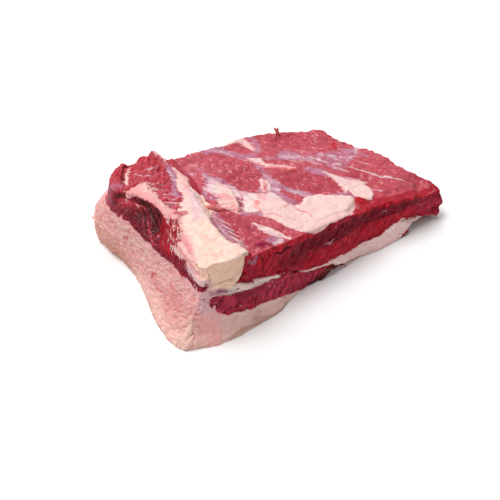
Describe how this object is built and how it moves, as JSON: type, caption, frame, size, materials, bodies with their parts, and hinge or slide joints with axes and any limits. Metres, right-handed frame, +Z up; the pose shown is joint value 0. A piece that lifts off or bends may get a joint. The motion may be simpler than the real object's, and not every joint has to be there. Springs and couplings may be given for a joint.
{
  "type": "raw beef brisket",
  "caption": "Thick slab of raw beef with layers of lean and fat, a hard fat wedge on one rim, lying fat side down.",
  "frame": {"origin": "centre of the bounding box's base, on the surface that the piece lies on", "axes": "+X from the thick end to the thin end along the cut face, +Y from the cut face to the back, +Z up"},
  "size_m": [0.355, 0.2438, 0.1016],
  "materials": {
    "fat_cap": "raw external fat, moist satin, pinkish cream with red veins",
    "lean_core": "raw lean beef, moist, dark crimson with fine fibres",
    "hard_fat": "hard cream fat, smooth satin",
    "end_lean": "raw lean beef, glossy, dark crimson",
    "flat_lean": "raw lean beef, moist, crimson with thin silverskin and fat patches"
  },
  "bodies": {
    "root": {"fat_cap": "fat_cap", "lean_core": "lean_core", "hard_fat": "hard_fat", "end_lean": "end_lean", "flat_lean": "flat_lean"}
  },
  "joints": []
}
